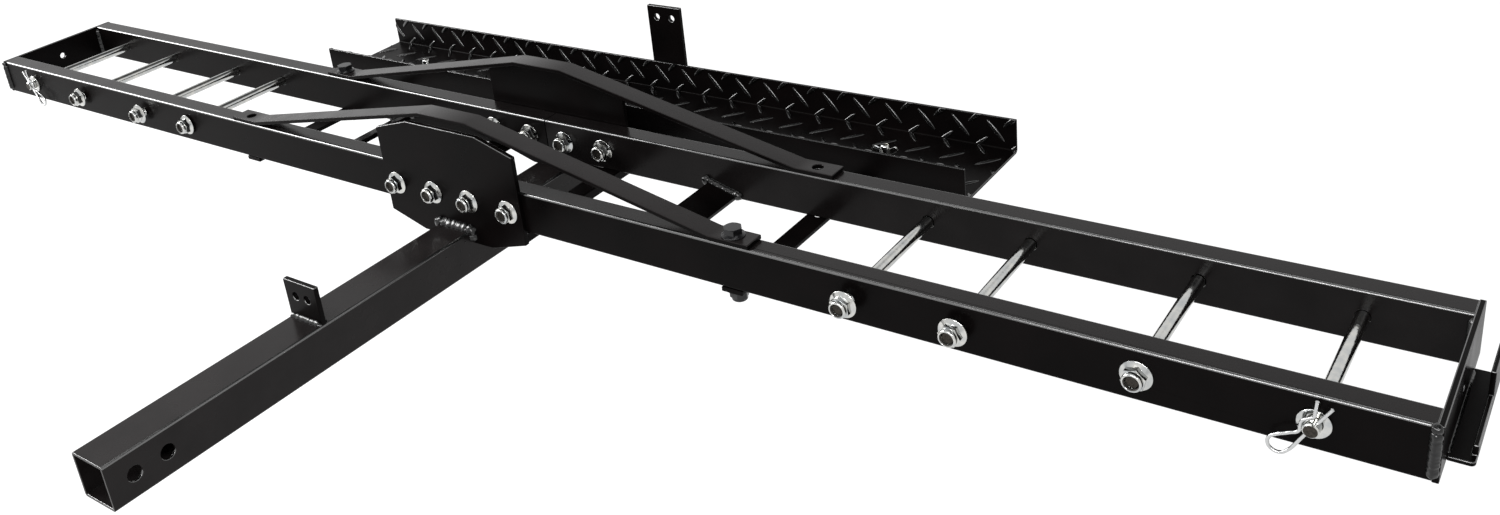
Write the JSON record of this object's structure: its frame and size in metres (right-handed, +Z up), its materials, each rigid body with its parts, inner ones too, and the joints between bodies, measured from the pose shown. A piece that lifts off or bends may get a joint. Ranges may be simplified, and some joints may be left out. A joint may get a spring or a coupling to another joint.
{
  "type": "hitch motorcycle carrier",
  "caption": "Hitch-mounted motorcycle carrier with a wheel channel of paired rails, a centre bracket, brace straps and a loading ramp stored behind.",
  "frame": {"origin": "middle of the inner hitch pin hole, on the axis of the hitch tube", "axes": "+X along the rails, +Y along the hitch tube away from the vehicle, +Z up"},
  "size_m": [2.051, 0.924, 0.187],
  "materials": {
    "powder_coat": "semi-gloss black powder coat",
    "zinc": "bright zinc plate",
    "black_oxide": "black oxide steel",
    "nylon": "natural nylon",
    "spring_wire": "bright plated spring wire"
  },
  "bodies": {
    "carrier": {"hitch_tube": "powder_coat", "strap_lug_near": "powder_coat", "strap_lug_far": "powder_coat", "bracket_plate_near": "powder_coat", "bracket_plate_far": "powder_coat", "saddle_bar_left": "powder_coat", "saddle_bar_right": "powder_coat", "rail_near_left": "powder_coat", "rail_far_left": "powder_coat", "rail_near_right": "powder_coat", "rail_far_right": "powder_coat", "end_plate_left": "powder_coat", "end_plate_right": "powder_coat", "cross_member_left": "powder_coat", "cross_member_right": "powder_coat", "ramp_hook": "powder_coat", "brace_strap_near": "powder_coat", "brace_strap_far": "powder_coat", "ramp_arm_left": "powder_coat", "ramp_arm_right": "powder_coat", "ramp_studs": "zinc", "cross_rods": "zinc", "rod_nuts": "zinc", "rod_nut_rings": "nylon", "bracket_bolts": "zinc", "bracket_nuts": "zinc", "bracket_nut_rings": "nylon", "strap_bolts": "black_oxide", "strap_nuts": "black_oxide", "strap_nut_rings": "nylon"},
    "ramp": {"ramp": "powder_coat"},
    "wing_nut_left": {"wing_nut_left": "zinc"},
    "wing_nut_right": {"wing_nut_right": "zinc"},
    "quick_pin_left": {"quick_pin_left": "zinc", "pin_washer_left": "zinc"},
    "quick_pin_right": {"quick_pin_right": "zinc", "pin_washer_right": "zinc"},
    "clip_left": {"r_clip_left": "spring_wire"},
    "clip_right": {"r_clip_right": "spring_wire"}
  },
  "joints": [
    {"name": "ramp_lift", "type": "slide", "parent": "carrier", "child": "ramp", "axis": [0, 0, 1], "range_m": [0, 0.12]},
    {"name": "wing_nut_left_turn", "type": "hinge", "parent": "ramp", "child": "wing_nut_left", "pos_m": [-0.388, 0.75425, 0.0411], "axis": [0, 0, 1], "continuous": true},
    {"name": "wing_nut_right_turn", "type": "hinge", "parent": "ramp", "child": "wing_nut_right", "pos_m": [0.388, 0.75425, 0.0411], "axis": [0, 0, 1], "continuous": true},
    {"name": "quick_pin_left_turn", "type": "hinge", "parent": "carrier", "child": "quick_pin_left", "pos_m": [-0.93, 0.428, 0.0635], "axis": [0, 1, 0], "continuous": true},
    {"name": "quick_pin_right_turn", "type": "hinge", "parent": "carrier", "child": "quick_pin_right", "pos_m": [0.93, 0.428, 0.0635], "axis": [0, 1, 0], "continuous": true},
    {"name": "clip_left_pull", "type": "slide", "parent": "quick_pin_left", "child": "clip_left", "axis": [0.5299, 0, -0.848], "range_m": [0, 0.035], "deforming": ["r_clip_left"]},
    {"name": "clip_right_pull", "type": "slide", "parent": "quick_pin_right", "child": "clip_right", "axis": [-0.5299, 0, -0.848], "range_m": [0, 0.035], "deforming": ["r_clip_right"]}
  ]
}
